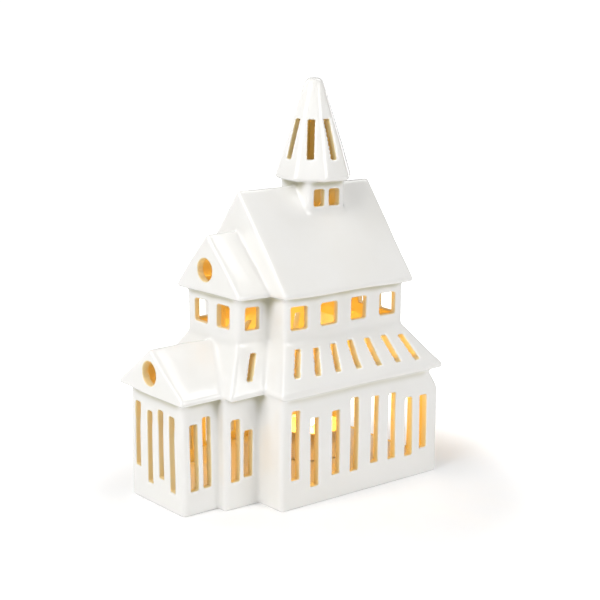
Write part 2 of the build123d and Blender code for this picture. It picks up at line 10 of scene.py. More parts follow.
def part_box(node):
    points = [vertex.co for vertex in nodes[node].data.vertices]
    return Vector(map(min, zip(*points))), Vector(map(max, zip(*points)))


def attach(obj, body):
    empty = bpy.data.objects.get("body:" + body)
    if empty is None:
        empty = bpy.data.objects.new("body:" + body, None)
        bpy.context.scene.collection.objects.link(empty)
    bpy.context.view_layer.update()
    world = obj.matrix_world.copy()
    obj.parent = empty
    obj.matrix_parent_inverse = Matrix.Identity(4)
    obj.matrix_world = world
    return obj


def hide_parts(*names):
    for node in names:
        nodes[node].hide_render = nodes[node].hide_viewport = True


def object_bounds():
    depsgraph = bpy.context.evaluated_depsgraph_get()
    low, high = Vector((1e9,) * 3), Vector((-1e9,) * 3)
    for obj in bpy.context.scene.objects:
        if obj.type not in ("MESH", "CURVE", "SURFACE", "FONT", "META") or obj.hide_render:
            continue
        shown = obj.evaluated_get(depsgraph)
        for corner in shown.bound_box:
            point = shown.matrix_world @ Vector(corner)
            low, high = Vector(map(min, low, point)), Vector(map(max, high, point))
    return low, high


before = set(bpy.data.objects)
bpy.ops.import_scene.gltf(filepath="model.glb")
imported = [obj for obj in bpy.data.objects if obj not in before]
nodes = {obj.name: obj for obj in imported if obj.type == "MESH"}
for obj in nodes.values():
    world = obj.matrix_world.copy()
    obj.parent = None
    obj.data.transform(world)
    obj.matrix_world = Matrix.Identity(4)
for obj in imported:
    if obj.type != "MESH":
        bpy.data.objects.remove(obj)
cad_low, cad_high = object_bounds()


# ---- The luted clay ------------------------------------------------------------------------------
# White earthenware, slip-cast in pieces that are luted to each other damp, sponged until every edge
# and inner corner is soft, and glazed in one coat over the joints. The castings are run together
# and eased here, and each section below parts its own one off.
castings = (
    "nave_walls", "narthex_walls", "porch_walls", "nave_aisle_roof", "narthex_aisle_roof",
    "porch_roof", "nave_clerestory", "narthex_clerestory", "nave_roof", "narthex_roof",
    "turret", "spire",
)
wall_tubes = (
    "nave_walls", "narthex_walls", "porch_walls", "nave_clerestory", "narthex_clerestory", "turret",
)
clay_grain = 0.000646
merge_gap = 0.000002
stand_off = 0.001

# How near the sides of a slot or window are to each other, and how far from them clay stays crisp.
slot_reach = 0.008
opening_reach = 0.0145
crisp_reach, soft_reach = 0.0006, 0.0030

# The sponge: how often it goes over the clay, and how it bears on slopes and undersides.
sponge_strokes = 12
hand_tilt = 1.5
under_hand = 0.75
foot_height = 0.003
cove_strokes = 22
cove_tilt = 2.5
cove_depth = 0.01
tip_strokes = 40
tip_height = 0.007
arris_strokes = 5

# The unevenness of the hand, and of how the spire is set on.
ripple_count = 8
ripple_depth = 0.00012
ripple_longest = 0.11
ripple_shortest = 0.026
ripple_turn = 2.4
foot_fade = 0.02
spire_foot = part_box("spire")[0].z
spire_swell = 0.022
spire_shift = (0.0003, 0.0004)

# The bare inside, the coat of glaze outside, and the painted shade where the glaze pools.
tube_wall = 0.002
bare_sides = 3
bare_strokes = 10
bare_range = (0.05, 0.6)
rim_strokes = 2
glaze_coat = 0.0003
shelter_reach = 0.014
open_share = 0.25
pool_shade_tilt = 2
pool_shade_strokes = 12

up = Vector((0, 0, 1))
looks = [Vector(look) for look in ((1, 0, 0), (-1, 0, 0), (0, 1, 0), (0, -1, 0))]
luted = bmesh.new()
reveal_points, reveal_faces = [], []


def clear_way(clay_tree, start, look):
    """How far it is from a point in the air to the clay that it faces: no end to it in the open."""
    facing, distance = clay_tree.ray_cast(start, look)[1::2]
    return distance if facing is not None and facing.dot(look) < 0 else math.inf


def in_slot(ways):
    """Whether there is clay close by on two opposite sides."""
    right, left, behind, before = ways
    return min(right + left, behind + before) < slot_reach


for name in castings:
    casting = bmesh.new()
    casting.from_mesh(nodes[name].data)
    bmesh.ops.remove_doubles(casting, verts=casting.verts, dist=merge_gap)
    # The sides of its slots and windows: faces in a slot, or that look across a small opening.
    own_tree = BVHTree.FromBMesh(casting)
    for face in casting.faces:
        start = face.calc_center_median() + face.normal * stand_off
        ways = [clear_way(own_tree, start, look) for look in looks]
        if in_slot(ways) or clear_way(own_tree, start, face.normal) < opening_reach:
            count = len(reveal_points)
            reveal_faces.append(range(count, count + len(face.verts)))
            reveal_points.extend(vert.co.copy() for vert in face.verts)
    merged = bpy.data.meshes.new(name + "_merged")
    casting.to_mesh(merged)
    casting.free()
    luted.from_mesh(merged)
    bpy.data.meshes.remove(merged)

walls_round = BVHTree.FromBMesh(luted)
luted_mesh = bpy.data.meshes.new("luted_clay")
luted.to_mesh(luted_mesh)
luted.free()

clay_object = bpy.data.objects.new("luted_clay", luted_mesh)
bpy.context.scene.collection.objects.link(clay_object)
joining = clay_object.modifiers.new("joining", "REMESH")
joining.mode = "VOXEL"
joining.voxel_size = clay_grain
scene_state = bpy.context.evaluated_depsgraph_get()
eased = bpy.data.meshes.new_from_object(clay_object.evaluated_get(scene_state))
bpy.data.objects.remove(clay_object)
bpy.data.meshes.remove(luted_mesh)

points = np.empty((len(eased.vertices), 3), np.float32)
eased.vertices.foreach_get("co", points.ravel())
ends = np.empty((len(eased.edges), 2), np.int32)
eased.edges.foreach_get("vertices", ends.ravel())
neighbours = np.bincount(ends.ravel(), minlength=len(points))
places = [vertex.co.copy() for vertex in eased.vertices]

# How far each point is from the sides of an opening, its place on the casting, and whether that is
# on such a side. The bare inside has clay overhead and on three sides or more, or is within a tube
# of walls. Clay with an eave close above it is sheltered.
openings = BVHTree.FromPolygons(reveal_points, reveal_faces)
from_opening = np.full(len(points), soft_reach)
settled = points.copy()
cut = np.zeros(len(points))
bare = np.zeros(len(points))
sheltered = np.zeros(len(points))
for index, (place, skin) in enumerate(zip(places, eased.vertex_normals)):
    distance = openings.find_nearest(place, soft_reach)[3]
    if distance is not None:
        from_opening[index] = distance
        settled[index] = walls_round.find_nearest(place)[0]
        cut[index] = openings.find_nearest(Vector(settled[index]), merge_gap)[0] is not None
    start = place + skin.vector * stand_off
    overhead = clear_way(walls_round, start, up)
    if overhead < math.inf:
        sheltered[index] = max(0, 1 - overhead / shelter_reach)
        closed_sides = sum(clear_way(walls_round, start, look) < math.inf for look in looks)
        bare[index] = closed_sides >= bare_sides
for name in wall_tubes:
    low, high = (np.array(corner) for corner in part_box(name))
    low[:2] += tube_wall
    high[:2] -= tube_wall
    bare[((points > low) & (points < high)).all(axis=1)] = 1


def spread(values, strokes=1):
    """A value evened out over the clay: at each stroke, the mean of each point's neighbours."""
    first, second = ends.T
    for stroke in range(strokes):
        total = np.bincount(first, values[second], len(points))
        total += np.bincount(second, values[first], len(points))
        values = total / neighbours
    return values


def among_neighbours(clay_points):
    """The middle of each point's neighbours."""
    return np.column_stack([spread(clay_points[:, axis]) for axis in range(3)])


def sponged(clay_points, strokes, pressure):
    """The clay rubbed down: each point moved half way to its neighbours, by the pressure there."""
    for stroke in range(strokes):
        pull = among_neighbours(clay_points) - clay_points
        clay_points = clay_points + pull * (pressure / 2)[:, None]
    return clay_points


def reshaped(clay_points):
    """Puts the points back on the clay, within the CAD box, and gives its normals there."""
    clay_points = np.clip(clay_points, cad_low, cad_high).astype(np.float32)
    eased.vertices.foreach_set("co", clay_points.ravel())
    eased.update()
    directions = np.empty((len(clay_points), 3), np.float32)
    eased.vertex_normals.foreach_get("vector", directions.ravel())
    return clay_points, directions


def standing_out(clay_points, directions):
    """How far each point stands out of its surroundings: above 0 on an edge, below in a hollow."""
    away = clay_points - among_neighbours(clay_points)
    return spread(np.einsum("ij,ij->i", away, directions) / clay_grain, arris_strokes)


# Slots and windows are cut last and stay crisp. Roof edges are rubbed round, less so on their
# undersides, and hollows that the hand can reach from above are filled to coves. The tip of the
# spire is rubbed to a dome.
softness = np.clip((from_opening - crisp_reach) / (soft_reach - crisp_reach), 0, 1)
points, normals = reshaped(settled + (points - settled) * softness[:, None])
reached = np.clip(1 + hand_tilt * normals[:, 2], under_hand, 1)
reached = np.where(points[:, 2] < foot_height, 1, reached)
points, normals = reshaped(sponged(points, sponge_strokes, softness * reached))
hollow = np.clip(-standing_out(points, normals) / cove_depth, 0, 1)
hollow *= np.clip(1 + cove_tilt * normals[:, 2], 0, 1)
hollow *= np.clip(from_opening / crisp_reach - 1, 0, 1)
points = sponged(points, cove_strokes, spread(hollow, arris_strokes))
near_tip = np.clip((points[:, 2] - cad_high.z) / tip_height + 1, 0, 1)
points = sponged(points, tip_strokes, near_tip)

# The hand's unevenness: a few slow waves across the clay, each with its own length and direction,
# which die out at the flat foot.
shift = np.zeros_like(points)
for index in range(ripple_count):
    turn = index * ripple_turn
    along = np.array((math.sin(turn), math.cos(turn), math.sin(2 * turn + 1)))
    push = np.array((math.cos(3 * turn), math.sin(3 * turn), math.cos(5 * turn)))
    length = ripple_longest + (ripple_shortest - ripple_longest) * index / (ripple_count - 1)
    wave = np.sin(points @ along * (2 * math.pi / length) + turn)
    shift += np.outer(wave, push * ripple_depth)
points = points + shift * np.clip(points[:, 2:] / foot_fade, 0, 1)

# The spire is set on by eye, a little off the middle, and is a little fuller than its mould.
spire_middle = sum(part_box("spire"), Vector()) / 2
on_spire = np.clip((points[:, 2:] - spire_foot) / stand_off + 1, 0, 1)
points[:, :2] += on_spire * ((points[:, :2] - spire_middle[:2]) * spire_swell + spire_shift)

# The inside and the sides of the openings stay bare, but for a rim where the glaze rolls over.
bare_least, bare_most = bare_range
bare = np.clip((spread(bare, bare_strokes) - bare_least) / (bare_most - bare_least), 0, 1)
bare = np.maximum(bare, cut)
outside = 1 - bare
bare = spread(bare, rim_strokes)

# The coat of glaze, a painted highlight on edges where it runs thin, and painted shade in hollows.
points, normals = reshaped(points)
points, normals = reshaped(points + normals * outside[:, None] * glaze_coat)
arris = standing_out(points, normals)
# Painted shade: hollows are darkened, most where an eave is close above.
pool_and_shade = np.clip(-arris, 0, None) * np.clip(1 - pool_shade_tilt * normals[:, 2], 0, 1)
pool_and_shade *= open_share + (1 - open_share) * sheltered
pool_and_shade = spread(pool_and_shade, pool_shade_strokes)
for name, values in (("bare", bare), ("cut", cut), ("arris", arris), ("pool_and_shade", pool_and_shade)):
    layer = eased.attributes.new(name, "FLOAT", "POINT")
    layer.data.foreach_set("value", values.astype(np.float32))
layer = eased.attributes.new("skin", "FLOAT_VECTOR", "POINT")
layer.data.foreach_set("vector", normals.ravel())
clay = bmesh.new()
clay.from_mesh(eased)
bpy.data.meshes.remove(eased)


# ---- The white glaze -----------------------------------------------------------------------------
# A glossy tin-white glaze, dipped and fired: a little creamy where it pools in hollows, which are
# darkened with painted shade, most under eaves; thin on the edges, which are painted a little
# lighter as a highlight; uneven by a hair, with a few pin-spots of iron. The inside is left bare, as
# buff biscuit painted orange-yellow with candlelight, and the sides of the openings are a little
# paler.
glaze_white = (0.870, 0.862, 0.838, 1)
glaze_warm = (0.850, 0.838, 0.802, 1)
glaze_pooled_shade = (0.560, 0.535, 0.400, 1)
# Edges where the glaze runs thin are painted lighter than the glaze, as a highlight.
glaze_thin_highlight = (0.890, 0.880, 0.855, 1)
iron_spot = (0.36, 0.27, 0.17, 1)
# The bare inside and the sides of the openings: partly the biscuit's own buff, partly painted
# candlelight.
bare_clay_candlelit = (0.86, 0.68, 0.28, 1)
cut_clay_candlelit = (0.84, 0.71, 0.40, 1)
cloud_contrast = (0.3, 0.7)
cloud_scale, cloud_detail = 28, 4.0
pool_shade_range = (0.002, 0.025)
thin_highlight_range = (0.02, 0.09)
unglazed_range = (0.4, 0.8)
spot_scale = 38
spot_size = (0.016, 0.008)
spot_choice = (0.78, 0.8)
glaze_roughness = (0.16, 0.26)
bare_roughness = 0.7
peel_scale, peel_detail = 420, 1.0
peel_strength, peel_depth = 0.06, 0.0004
glaze_index = 1.5
gloss_weight, gloss_roughness = 0.5, 0.06


def shader_group(name, inputs, outputs):
    """An empty node group with the given sockets, and its input and output nodes."""
    group = bpy.data.node_groups.new(name, "ShaderNodeTree")
    for label, kind, value in inputs:
        socket = group.interface.new_socket(label, in_out="INPUT", socket_type=kind)
        socket.default_value = value
    for label, kind in outputs:
        group.interface.new_socket(label, in_out="OUTPUT", socket_type=kind)
    return group, group.nodes.new("NodeGroupInput"), group.nodes.new("NodeGroupOutput")


# Clouding: two tones that drift into each other over the surface.
clouding, given, gives = shader_group(
    "clouding",
    (("Light Tone", "NodeSocketColor", (1, 1, 1, 1)),
     ("Deep Tone", "NodeSocketColor", (0, 0, 0, 1)),
     ("Scale", "NodeSocketFloat", 10.0), ("Detail", "NodeSocketFloat", 3.0)),
    (("Tone", "NodeSocketColor"), ("Cloud", "NodeSocketFloat")),
)
place = clouding.nodes.new("ShaderNodeTexCoord")
cloud = clouding.nodes.new("ShaderNodeTexNoise")
contrast = clouding.nodes.new("ShaderNodeMapRange")
contrast.interpolation_type = "SMOOTHSTEP"
contrast.inputs["From Min"].default_value = cloud_contrast[0]
contrast.inputs["From Max"].default_value = cloud_contrast[1]
tones = clouding.nodes.new("ShaderNodeMix")
tones.data_type = "RGBA"
join = clouding.links.new
join(place.outputs["Object"], cloud.inputs["Vector"])
join(given.outputs["Scale"], cloud.inputs["Scale"])
join(given.outputs["Detail"], cloud.inputs["Detail"])
join(cloud.outputs["Fac"], contrast.inputs["Value"])
join(contrast.outputs["Result"], tones.inputs["Factor"])
join(given.outputs["Light Tone"], tones.inputs["A"])
join(given.outputs["Deep Tone"], tones.inputs["B"])
join(tones.outputs["Result"], gives.inputs["Tone"])
join(contrast.outputs["Result"], gives.inputs["Cloud"])


def new_material(name):
    """A material with its shader, and a way to add a node and to link two sockets."""
    material = bpy.data.materials.new(name)
    material.use_nodes = True
    tree = material.node_tree
    return material, tree.nodes["Principled BSDF"], tree.nodes.new, tree.links.new


def clouded(add, light, deep, scale, detail):
    """The clouding group, placed in a material with its own values."""
    node = add("ShaderNodeGroup")
    node.node_tree = clouding
    node.inputs["Light Tone"].default_value = light
    node.inputs["Deep Tone"].default_value = deep
    node.inputs["Scale"].default_value = scale
    node.inputs["Detail"].default_value = detail
    return node


def ranged(add, link, source, span, onto=(0.0, 1.0)):
    """A value eased from one range onto another."""
    node = add("ShaderNodeMapRange")
    node.interpolation_type = "SMOOTHSTEP"
    for label, value in zip(("From Min", "From Max", "To Min", "To Max"), (*span, *onto)):
        node.inputs[label].default_value = value
    link(source, node.inputs["Value"])
    return node.outputs["Result"]


def tinted(add, link, base, tone, mask):
    """A colour laid over another where the mask is."""
    node = add("ShaderNodeMix")
    node.data_type = "RGBA"
    link(base, node.inputs["A"])
    node.inputs["B"].default_value = tone
    link(mask, node.inputs["Factor"])
    return node.outputs["Result"]


def carried(add, name):
    """A value that the clay carries at its points."""
    node = add("ShaderNodeAttribute")
    node.attribute_name = name
    return node.outputs["Fac"]


def where_both(add, link, first, second):
    """The mask of where two masks meet."""
    node = add("ShaderNodeMath")
    node.operation = "MULTIPLY"
    link(first, node.inputs[0])
    link(second, node.inputs[1])
    return node.outputs[0]


white_glaze, surface, add, link = new_material("white_glaze")
coordinates = add("ShaderNodeTexCoord").outputs["Object"]
body = clouded(add, glaze_white, glaze_warm, cloud_scale, cloud_detail)
pooled_shade = ranged(add, link, carried(add, "pool_and_shade"), pool_shade_range)
thin_highlight = ranged(add, link, carried(add, "arris"), thin_highlight_range)
unglazed = ranged(add, link, carried(add, "bare"), unglazed_range)
bare_side = where_both(add, link, carried(add, "cut"), unglazed)
cells = add("ShaderNodeTexVoronoi")
cells.inputs["Scale"].default_value = spot_scale
link(coordinates, cells.inputs["Vector"])
spot = ranged(add, link, cells.outputs["Distance"], spot_size)
chosen = ranged(add, link, cells.outputs["Color"], spot_choice)
speck = where_both(add, link, spot, chosen)
# Painted shade in hollows and under eaves, with the pooled glaze's cream.
tone = tinted(add, link, body.outputs["Tone"], glaze_pooled_shade, pooled_shade)
# A painted highlight on the edges.
tone = tinted(add, link, tone, glaze_thin_highlight, thin_highlight)
tone = tinted(add, link, tone, iron_spot, speck)
# Bare clay inside, tinted orange-yellow with painted candlelight.
tone = tinted(add, link, tone, bare_clay_candlelit, unglazed)
tone = tinted(add, link, tone, cut_clay_candlelit, bare_side)
link(tone, surface.inputs["Base Color"])
gloss = add("ShaderNodeMix")
link(ranged(add, link, body.outputs["Cloud"], (0, 1), glaze_roughness), gloss.inputs["A"])
gloss.inputs["B"].default_value = bare_roughness
link(unglazed, gloss.inputs["Factor"])
link(gloss.outputs["Result"], surface.inputs["Roughness"])
peel = add("ShaderNodeTexNoise")
peel.inputs["Scale"].default_value = peel_scale
peel.inputs["Detail"].default_value = peel_detail
link(coordinates, peel.inputs["Vector"])
bump = add("ShaderNodeBump")
bump.inputs["Strength"].default_value = peel_strength
bump.inputs["Distance"].default_value = peel_depth
link(peel.outputs["Fac"], bump.inputs["Height"])
link(bump.outputs["Normal"], surface.inputs["Normal"])
surface.inputs["IOR"].default_value = glaze_index
surface.inputs["Coat Weight"].default_value = gloss_weight
surface.inputs["Coat Roughness"].default_value = gloss_roughness


# ---- The base floor ------------------------------------------------------------------------------
# A flat slab let into the foot of the walls, a little above the table, that the candle stands on.
# It is clay of the same body, glazed with the rest.
nodes["base_floor"].material_slots[0].material = white_glaze


# ---- The nave walls ------------------------------------------------------------------------------
# The largest of the three lower boxes, slip-cast, with eight upright slots in each side and a
# doorway at the back for the candle. The aisle roof is luted on its top edge, and the narthex
# against its front.
seam = 0.0008
forward = Vector((0, -1, 0))


def close_cut(run, facing):
    """Closes the open edges that a cut has left."""
    rim = [edge for edge in run.edges if edge.is_boundary]
    filled = bmesh.ops.triangle_fill(run, edges=rim, normal=facing, use_beauty=False)["geom"]
    for face in filled:
        if isinstance(face, bmesh.types.BMFace):
            face.smooth = False


def parted(run, place, outward):
    """Cuts a run of clay along a plane: what lies behind it and what lies before it, both closed."""
    halves = []
    for facing in (outward, -outward):
        half = run.copy()
        geometry = half.verts[:] + half.edges[:] + half.faces[:]
        bmesh.ops.bisect_plane(
            half, geom=geometry, plane_co=place, plane_no=facing, clear_outer=True)
        close_cut(half, facing)
        halves.append(half)
    run.free()
    return halves


def glazed(name, run):
    """A parted casting as a glazed piece that keeps the shading of the whole shell."""
    bmesh.ops.recalc_face_normals(run, faces=run.faces)
    mesh = bpy.data.meshes.new(name)
    run.to_mesh(mesh)
    run.free()
    skin = np.empty((len(mesh.vertices), 3), np.float32)
    mesh.attributes["skin"].data.foreach_get("vector", skin.ravel())
    corners = np.empty(len(mesh.loops), np.int32)
    mesh.loops.foreach_get("vertex_index", corners)
    smooth = np.empty(len(mesh.polygons), bool)
    mesh.polygons.foreach_get("use_smooth", smooth)
    sizes = np.empty(len(mesh.polygons), np.int32)
    mesh.polygons.foreach_get("loop_total", sizes)
    # The flat faces over a cut are given no direction here, and so keep their own.
    shading = skin[corners] * np.repeat(smooth, sizes)[:, None]
    mesh.normals_split_custom_set(shading)
    mesh.attributes.remove(mesh.attributes["skin"])
    mesh.materials.append(white_glaze)
    piece = bpy.data.objects.new(name, mesh)
    bpy.context.scene.collection.objects.link(piece)
    return piece


for face in clay.faces:
    face.smooth = True
wall_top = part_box("nave_walls")[1].z
nave_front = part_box("nave_walls")[0].y
lower_walls, upper_clay = parted(clay, Vector((0, 0, wall_top - seam)), up)
nave_run, front_walls = parted(lower_walls, Vector((0, nave_front - seam, 0)), forward)
nave_walls = glazed("nave_walls_glazed", nave_run)
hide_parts("nave_walls")
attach(nave_walls, "house")


# ---- The narthex walls ---------------------------------------------------------------------------
# The narrower box in front of the nave, slip-cast, with two slots in each side.
# It is luted to the nave's front wall.
narthex_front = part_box("narthex_walls")[0].y
narthex_run, porch_run = parted(front_walls, Vector((0, narthex_front - seam, 0)), forward)
narthex_walls = glazed("narthex_walls_glazed", narthex_run)
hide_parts("narthex_walls")
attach(narthex_walls, "house")


# ---- The porch walls -----------------------------------------------------------------------------
# The narrowest box, slip-cast, with two slots in each side and four in front.
# It is luted to the narthex's front wall.
porch_walls = glazed("porch_walls_glazed", porch_run)
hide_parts("porch_walls")
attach(porch_walls, "house")


# ---- The nave aisle roof -------------------------------------------------------------------------
# A hipped skirt of clay round the nave, with seven slots in each slope that fan out towards the
# back. It sits on the walls with a deep square eave and carries the clerestory.
eave_depth = 0.0022
clerestory_foot, clerestory_top = (corner.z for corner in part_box("nave_clerestory"))
clerestory_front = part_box("nave_clerestory")[0].y
aisle_fall = clerestory_foot - wall_top - eave_depth


def front_slope(eave_y, top_y):
    """A point on the front slope of an aisle roof, stood off by the seam, and its way outward."""
    outward = Vector((0, -aisle_fall, top_y - eave_y)).normalized()
    return Vector((0, eave_y, wall_top + eave_depth)) + outward * seam, outward


aisle_roofs, upper_clay = parted(upper_clay, Vector((0, 0, clerestory_foot + seam)), up)
nave_slope = front_slope(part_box("nave_aisle_roof")[0].y, clerestory_front)
nave_run, front_roofs = parted(aisle_roofs, *nave_slope)
nave_aisle_roof = glazed("nave_aisle_roof_glazed", nave_run)
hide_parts("nave_aisle_roof")
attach(nave_aisle_roof, "house")


# ---- The narthex aisle roof ----------------------------------------------------------------------
# The narrower skirt of clay round the narthex, with one slot in each side slope.
# It is luted on the narthex walls and run into the nave's skirt behind it.
narthex_clerestory_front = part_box("narthex_clerestory")[0].y
narthex_slope = front_slope(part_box("narthex_aisle_roof")[0].y, narthex_clerestory_front)
narthex_run, porch_run = parted(front_roofs, *narthex_slope)
narthex_aisle_roof = glazed("narthex_aisle_roof_glazed", narthex_run)
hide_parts("narthex_aisle_roof")
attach(narthex_aisle_roof, "house")


# ---- The porch roof ------------------------------------------------------------------------------
# A low clay gable over the porch, with a round window.
# It is luted on the porch walls and run back into the narthex's front slope.
porch_roof = glazed("porch_roof_glazed", porch_run)
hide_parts("porch_roof")
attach(porch_roof, "house")


# ---- The nave clerestory -------------------------------------------------------------------------
# The upper walls of the nave, a thinner casting with four square windows in each side and four at
# the back. It is luted on the nave's aisle roof.
clerestories, upper_clay = parted(upper_clay, Vector((0, 0, clerestory_top - seam)), up)
nave_run, narthex_run = parted(clerestories, Vector((0, clerestory_front - seam, 0)), forward)
nave_clerestory = glazed("nave_clerestory_glazed", nave_run)
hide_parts("nave_clerestory")
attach(nave_clerestory, "house")


# ---- The narthex clerestory ----------------------------------------------------------------------
# The upper walls of the narthex, a thinner casting with two square windows in front and one in each
# side. It is luted on the narthex's aisle roof, against the nave's clerestory.
narthex_clerestory = glazed("narthex_clerestory_glazed", narthex_run)
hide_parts("narthex_clerestory")
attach(narthex_clerestory, "house")


# ---- The narthex roof ----------------------------------------------------------------------------
# A steep clay gable with a round window.
# It is luted on the narthex's clerestory and to the gable of the nave roof.
upper_roofs, spire_run = parted(upper_clay, Vector((0, 0, spire_foot - seam)), up)
nave_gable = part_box("nave_roof")[0].y
ridge_run, narthex_run = parted(upper_roofs, Vector((0, nave_gable - seam, 0)), forward)
narthex_roof = glazed("narthex_roof_glazed", narthex_run)
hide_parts("narthex_roof")
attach(narthex_roof, "house")


# ---- The nave roof -------------------------------------------------------------------------------
# The tall main gable, cast hollow, with an eave all round and an opening astride its ridge under
# the turret. It is luted on the nave's clerestory.
upper_eave_depth = 0.0018
nave_roof_rise = 0.0497
half_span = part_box("nave_roof")[1].x
ridge = Vector((0, 0, clerestory_top + upper_eave_depth + nave_roof_rise))
slopes = [Vector((side * nave_roof_rise, 0, half_span)).normalized() for side in (1, -1)]

turret_run = ridge_run.copy()
for slope in slopes:
    geometry = turret_run.verts[:] + turret_run.edges[:] + turret_run.faces[:]
    bmesh.ops.bisect_plane(
        turret_run, geom=geometry, plane_co=ridge + slope * seam, plane_no=slope)
below = [face for face in turret_run.faces
         if all((face.calc_center_median() - ridge).dot(slope) < seam for slope in slopes)]
bmesh.ops.delete(turret_run, geom=below, context="FACES")
close_cut(turret_run, -up)

for slope in slopes:
    ridge_run, cut_away = parted(ridge_run, ridge + slope * seam, slope)
    cut_away.free()
nave_roof = glazed("nave_roof_glazed", ridge_run)
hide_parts("nave_roof")
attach(nave_roof, "house")


# ---- The turret ----------------------------------------------------------------------------------
# A square tube of clay saddled over the ridge, with two small windows in each side.
# It is luted to the slopes with a cove.
turret = glazed("turret_glazed", turret_run)
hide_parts("turret")
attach(turret, "house")


# ---- The spire -----------------------------------------------------------------------------------
# An eight-sided hollow cone of clay with a blunt tip, and a tall slot in each face but the back
# three. It is set on the turret and luted to it.
spire = glazed("spire_glazed", spire_run)
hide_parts("spire")
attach(spire, "house")


# ---- The tealight cup ----------------------------------------------------------------------------
# A thin aluminium cup, deep-drawn from foil, with a stiffening step in its foot and a lip rolled
# outwards. It stands loose on the floor of the house.
cup_low, cup_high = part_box("tealight_cup")
axis_y = (cup_low.y + cup_high.y) / 2
cup_foot, cup_lip = cup_low.z, cup_high.z
turned_steps = 96
arc_steps = 10
foil = 0.0003
lip_radius = 0.00045
lip_middle = 0.01852
lip_turn = (-110, 180)
foot_radius = 0.0014
foot_width = 0.0181
foot_turn = (-90, 0)
step_width = 0.0142
step_rise = 0.0006
metal_bright = (0.96, 0.95, 0.93, 1)
metal_dull = (0.84, 0.82, 0.79, 1)
drawn_scale, drawn_detail = 160, 2.0
drawn_roughness = (0.28, 0.42)


def arc(middle, height, radius, start, end):
    """Points of a profile along a round, from one angle to another."""
    turns = [math.radians(start + (end - start) * step / arc_steps)
             for step in range(arc_steps + 1)]
    return [(middle + radius * math.cos(turn), height + radius * math.sin(turn)) for turn in turns]


def turned(name, profile, material):
    """A closed piece turned about the candle's axis from a profile that starts and ends on it."""
    run = bmesh.new()
    turns = [2 * math.pi * step / turned_steps for step in range(turned_steps)]
    rows = []
    for reach, height in profile:
        if reach == 0:
            rows.append([run.verts.new((0, axis_y, height))] * turned_steps)
            continue
        rows.append([
            run.verts.new((reach * math.cos(turn), axis_y + reach * math.sin(turn), height))
            for turn in turns])
    for lower, upper in zip(rows, rows[1:]):
        for step in range(turned_steps):
            after = (step + 1) % turned_steps
            ring = dict.fromkeys((lower[step], lower[after], upper[after], upper[step]))
            run.faces.new(ring).smooth = True
    bmesh.ops.recalc_face_normals(run, faces=run.faces)
    mesh = bpy.data.meshes.new(name)
    run.to_mesh(mesh)
    run.free()
    mesh.materials.append(material)
    piece = bpy.data.objects.new(name, mesh)
    bpy.context.scene.collection.objects.link(piece)
    return piece


cup_metal, surface, add, link = new_material("cup_metal")
drawn = clouded(add, metal_bright, metal_dull, drawn_scale, drawn_detail)
link(drawn.outputs["Tone"], surface.inputs["Base Color"])
drawn_dull = ranged(add, link, drawn.outputs["Cloud"], (0, 1), drawn_roughness)
link(drawn_dull, surface.inputs["Roughness"])
surface.inputs["Metallic"].default_value = 1.0

step_foot = step_width + step_rise
foot_middle = (foot_width - foot_radius, cup_foot + foot_radius)
cup_profile = [(0, cup_foot + step_rise), (step_width, cup_foot + step_rise), (step_foot, cup_foot)]
cup_profile += arc(*foot_middle, foot_radius, *foot_turn)
cup_profile += arc(lip_middle, cup_lip - lip_radius, lip_radius, *lip_turn)
cup_profile += [(foot_width - foil, cup_foot + foot_radius)]
cup_profile += arc(*foot_middle, foot_radius - foil, *reversed(foot_turn))
cup_profile += [(step_foot, cup_foot + foil), (step_width, cup_foot + step_rise + foil),
                (0, cup_foot + step_rise + foil)]
tealight_cup = turned("tealight_cup_drawn", cup_profile, cup_metal)
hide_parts("tealight_cup")
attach(tealight_cup, "tealight")


# ---- The wax -------------------------------------------------------------------------------------
# Paraffin wax pressed into the cup. The top is a molten pool round the wick: it dips towards the
# middle and creeps up the foil at the edge. Its yellow is painted flame light, and it gives off a
# painted glow, strongest near the wick.
wax_low, wax_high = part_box("tealight_wax")
wax_side = ((0, 0.0004), (0.0168, 0.0004), (0.0176, 0.0012))
wax_pool = (
    (0.0179, 0.0008), (0.0180, 0), (0.0176, 0.0004), (0.0165, 0.0008), (0.0120, 0.0012),
    (0.0060, 0.0014), (0.0022, 0.0013), (0.0010, 0.0008), (0, 0.0007),
)
# The wax's tones are yellowed with painted flame light.
wax_pale_flamelit = (0.93, 0.84, 0.34, 1)
wax_deep_flamelit = (0.90, 0.76, 0.26, 1)
wax_scale, wax_detail = 140, 2.0
wax_roughness = (0.18, 0.34)
wax_clearness = 0.4
wax_depths = (0.004, 0.003, 0.0015)
painted_glow_near = (1.0, 0.80, 0.20, 1)
painted_glow_far = (0.80, 0.42, 0.07, 1)
painted_glow_reach = (0.004, 0.02)
painted_glow_strength = 0.6

candle_wax, surface, add, link = new_material("candle_wax")
melt = clouded(add, wax_pale_flamelit, wax_deep_flamelit, wax_scale, wax_detail)
link(melt.outputs["Tone"], surface.inputs["Base Color"])
melt_dull = ranged(add, link, melt.outputs["Cloud"], (0, 1), wax_roughness)
link(melt_dull, surface.inputs["Roughness"])
centred = add("ShaderNodeMapping")
centred.inputs["Location"].default_value = (0, -axis_y, -wax_high.z)
link(add("ShaderNodeTexCoord").outputs["Object"], centred.inputs["Vector"])
from_wick = add("ShaderNodeVectorMath")
from_wick.operation = "LENGTH"
link(centred.outputs["Vector"], from_wick.inputs[0])
